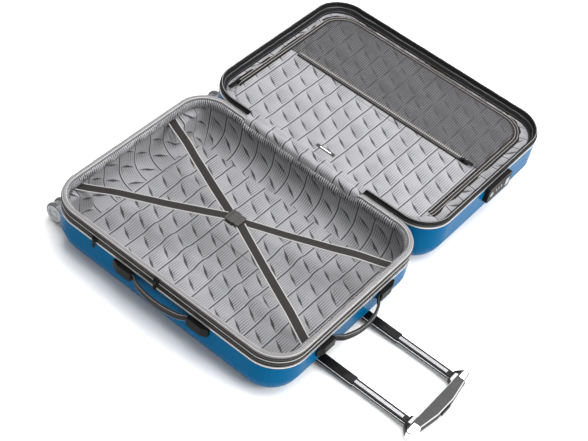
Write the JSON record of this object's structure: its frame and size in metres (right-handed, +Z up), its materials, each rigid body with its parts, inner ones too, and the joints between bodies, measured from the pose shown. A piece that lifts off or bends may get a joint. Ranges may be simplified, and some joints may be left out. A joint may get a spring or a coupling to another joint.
{
  "type": "hard shell suitcase",
  "caption": "Hard shell travel case laid open: zipped halves, cross straps, divider with mesh pocket, telescopic trolley, carry handles, dial lock and spinner casters.",
  "frame": {"origin": "centre of the flat back face of the base half, on the floor", "axes": "+X along the case towards the trolley end, +Y from the base half to the lid half, +Z up out of the open halves"},
  "size_m": [0.9055, 0.9908, 0.14],
  "materials": {
    "shell_blue": "glossy moulded shell with fine texture",
    "trim_silver": "satin silver",
    "zip_black": "woven zip tape",
    "lining_grey": "printed light grey lining",
    "plastic_black": "satin black moulding",
    "tube_black": "gloss black anodised tube",
    "metal_silver": "plain drawn aluminium",
    "chrome": "bright plated",
    "soft_grip": "soft-touch grip",
    "webbing": "woven webbing",
    "mesh_dark": "open knitted mesh",
    "wheel_grey": "satin grey wheel"
  },
  "bodies": {
    "base": {"base_shell": "shell_blue", "base_piping": "trim_silver", "base_zip_band": "zip_black", "base_zip_coils": "zip_black", "base_binding": "lining_grey", "base_lining": "lining_grey", "base_caster_plates": "plastic_black", "trolley_sheaths": "metal_silver", "trolley_bezel": "plastic_black", "straps_left": "webbing", "straps_right": "webbing", "strap_anchors": "webbing", "buckle_female": "plastic_black", "side_handle_plates": "plastic_black", "end_handle_plates": "plastic_black", "hinge_fabric": "lining_grey"},
    "lid": {"lid_shell": "shell_blue", "lid_piping": "trim_silver", "lid_zip_band": "zip_black", "lid_zip_coil": "zip_black", "lid_binding": "zip_black", "lid_skirt": "zip_black", "lid_lining": "lining_grey", "divider_panel": "lining_grey", "divider_zip": "zip_black", "mesh_pocket": "mesh_dark", "mesh_zip": "zip_black", "panel_tag": "webbing", "lid_caster_plates": "plastic_black", "lock_housing": "plastic_black"},
    "trolley_middle": {"middle_tubes": "tube_black", "middle_collars": "plastic_black"},
    "trolley_inner": {"inner_tubes": "tube_black", "inner_strips": "metal_silver", "grip_body": "soft_grip", "grip_caps": "chrome"},
    "grip_button": {"grip_button": "plastic_black"},
    "caster_1": {"fork_1": "metal_silver"},
    "wheel_pair_1": {"wheels_1": "wheel_grey"},
    "caster_2": {"fork_2": "metal_silver"},
    "wheel_pair_2": {"wheels_2": "wheel_grey"},
    "caster_3": {"fork_3": "metal_silver"},
    "wheel_pair_3": {"wheels_3": "wheel_grey"},
    "caster_4": {"fork_4": "metal_silver"},
    "wheel_pair_4": {"wheels_4": "wheel_grey"},
    "side_handle": {"side_handle_grip": "soft_grip"},
    "end_handle": {"end_handle_grip": "soft_grip"},
    "buckle_tongue": {"buckle_male": "plastic_black"},
    "main_zip_slider": {"main_slider": "metal_silver"},
    "main_zip_pull": {"main_pull": "plastic_black"},
    "wide_zip_slider": {"wide_slider": "metal_silver"},
    "divider_zip_slider": {"divider_slider": "plastic_black"},
    "divider_zip_pull": {"divider_pull": "plastic_black"},
    "mesh_zip_slider": {"mesh_slider": "plastic_black"},
    "mesh_zip_pull": {"mesh_pull": "plastic_black"},
    "dial_1": {"dial_1": "metal_silver"},
    "dial_2": {"dial_2": "metal_silver"},
    "dial_3": {"dial_3": "metal_silver"},
    "lock_button": {"lock_button": "metal_silver"},
    "key_cylinder": {"key_cylinder": "metal_silver"}
  },
  "joints": [
    {"name": "lid_hinge", "type": "hinge", "parent": "base", "child": "lid", "pos_m": [0, 0.2445, 0.1403], "axis": [1, 0, 0], "range_deg": [0, 180], "deforming": ["hinge_fabric"]},
    {"name": "trolley_middle_slide", "type": "slide", "parent": "base", "child": "trolley_middle", "axis": [1, 0, 0], "range_m": [-0.096, 0.1]},
    {"name": "trolley_inner_slide", "type": "slide", "parent": "trolley_middle", "child": "trolley_inner", "axis": [1, 0, 0], "range_m": [-0.129, 0.1]},
    {"name": "grip_button_press", "type": "slide", "parent": "trolley_inner", "child": "grip_button", "axis": [-1, 0, 0], "range_m": [0, 0.003], "stiffness_N_per_m": 400},
    {"name": "caster_1_swivel", "type": "hinge", "parent": "base", "child": "caster_1", "pos_m": [-0.29, -0.18, 0.048], "axis": [1, 0, 0], "continuous": true},
    {"name": "caster_1_roll", "type": "hinge", "parent": "caster_1", "child": "wheel_pair_1", "pos_m": [-0.326, -0.18, 0.03], "axis": [0, 1, 0], "continuous": true},
    {"name": "caster_2_swivel", "type": "hinge", "parent": "base", "child": "caster_2", "pos_m": [-0.29, 0.18, 0.048], "axis": [1, 0, 0], "continuous": true},
    {"name": "caster_2_roll", "type": "hinge", "parent": "caster_2", "child": "wheel_pair_2", "pos_m": [-0.326, 0.18, 0.03], "axis": [0, 1, 0], "continuous": true},
    {"name": "caster_3_swivel", "type": "hinge", "parent": "lid", "child": "caster_3", "pos_m": [-0.29, 0.309, 0.048], "axis": [1, 0, 0], "continuous": true},
    {"name": "caster_3_roll", "type": "hinge", "parent": "caster_3", "child": "wheel_pair_3", "pos_m": [-0.326, 0.309, 0.03], "axis": [0, 1, 0], "continuous": true},
    {"name": "caster_4_swivel", "type": "hinge", "parent": "lid", "child": "caster_4", "pos_m": [-0.29, 0.669, 0.048], "axis": [1, 0, 0], "continuous": true},
    {"name": "caster_4_roll", "type": "hinge", "parent": "caster_4", "child": "wheel_pair_4", "pos_m": [-0.326, 0.669, 0.03], "axis": [0, 1, 0], "continuous": true},
    {"name": "side_handle_lift", "type": "slide", "parent": "base", "child": "side_handle", "axis": [0, -1, 0], "range_m": [0, 0.003]},
    {"name": "end_handle_lift", "type": "slide", "parent": "base", "child": "end_handle", "axis": [1, 0, 0], "range_m": [0, 0.003]},
    {"name": "buckle_release", "type": "slide", "parent": "base", "child": "buckle_tongue", "axis": [1, 0, 0], "range_m": [0, 0.012], "deforming": ["straps_right"]},
    {"name": "main_zip_run", "type": "slide", "parent": "base", "child": "main_zip_slider", "axis": [1, 0, 0], "range_m": [-0.14, 0.2]},
    {"name": "main_pull_swing", "type": "hinge", "parent": "main_zip_slider", "child": "main_zip_pull", "pos_m": [-0.005, -0.2446, 0.1305], "axis": [-1, 0, 0], "range_deg": [0, 150]},
    {"name": "wide_zip_run", "type": "slide", "parent": "base", "child": "wide_zip_slider", "axis": [1, 0, 0], "range_m": [-0.04, 0]},
    {"name": "divider_zip_run", "type": "slide", "parent": "lid", "child": "divider_zip_slider", "axis": [0, 1, 0], "range_m": [0, 0.3]},
    {"name": "divider_pull_swing", "type": "hinge", "parent": "divider_zip_slider", "child": "divider_zip_pull", "pos_m": [-0.2775, 0.323, 0.1212], "axis": [-1, 0, 0], "range_deg": [0, 150]},
    {"name": "mesh_zip_run", "type": "slide", "parent": "lid", "child": "mesh_zip_slider", "axis": [-1, 0, 0], "range_m": [0, 0.43]},
    {"name": "mesh_pull_swing", "type": "hinge", "parent": "mesh_zip_slider", "child": "mesh_zip_pull", "pos_m": [0.223, 0.5045, 0.1212], "axis": [0, -1, 0], "range_deg": [0, 150]},
    {"name": "dial_1_turn", "type": "hinge", "parent": "lid", "child": "dial_1", "pos_m": [0.3174, 0.496, 0.104], "axis": [0, 1, 0], "continuous": true},
    {"name": "dial_2_turn", "type": "hinge", "parent": "lid", "child": "dial_2", "pos_m": [0.3174, 0.506, 0.104], "axis": [0, 1, 0], "continuous": true},
    {"name": "dial_3_turn", "type": "hinge", "parent": "lid", "child": "dial_3", "pos_m": [0.3174, 0.516, 0.104], "axis": [0, 1, 0], "continuous": true},
    {"name": "lock_button_press", "type": "slide", "parent": "lid", "child": "lock_button", "axis": [-1, 0, 0], "range_m": [0, 0.0025], "stiffness_N_per_m": 400},
    {"name": "key_turn", "type": "hinge", "parent": "lid", "child": "key_cylinder", "pos_m": [0.32, 0.478, 0.104], "axis": [1, 0, 0], "range_deg": [0, 90]}
  ]
}
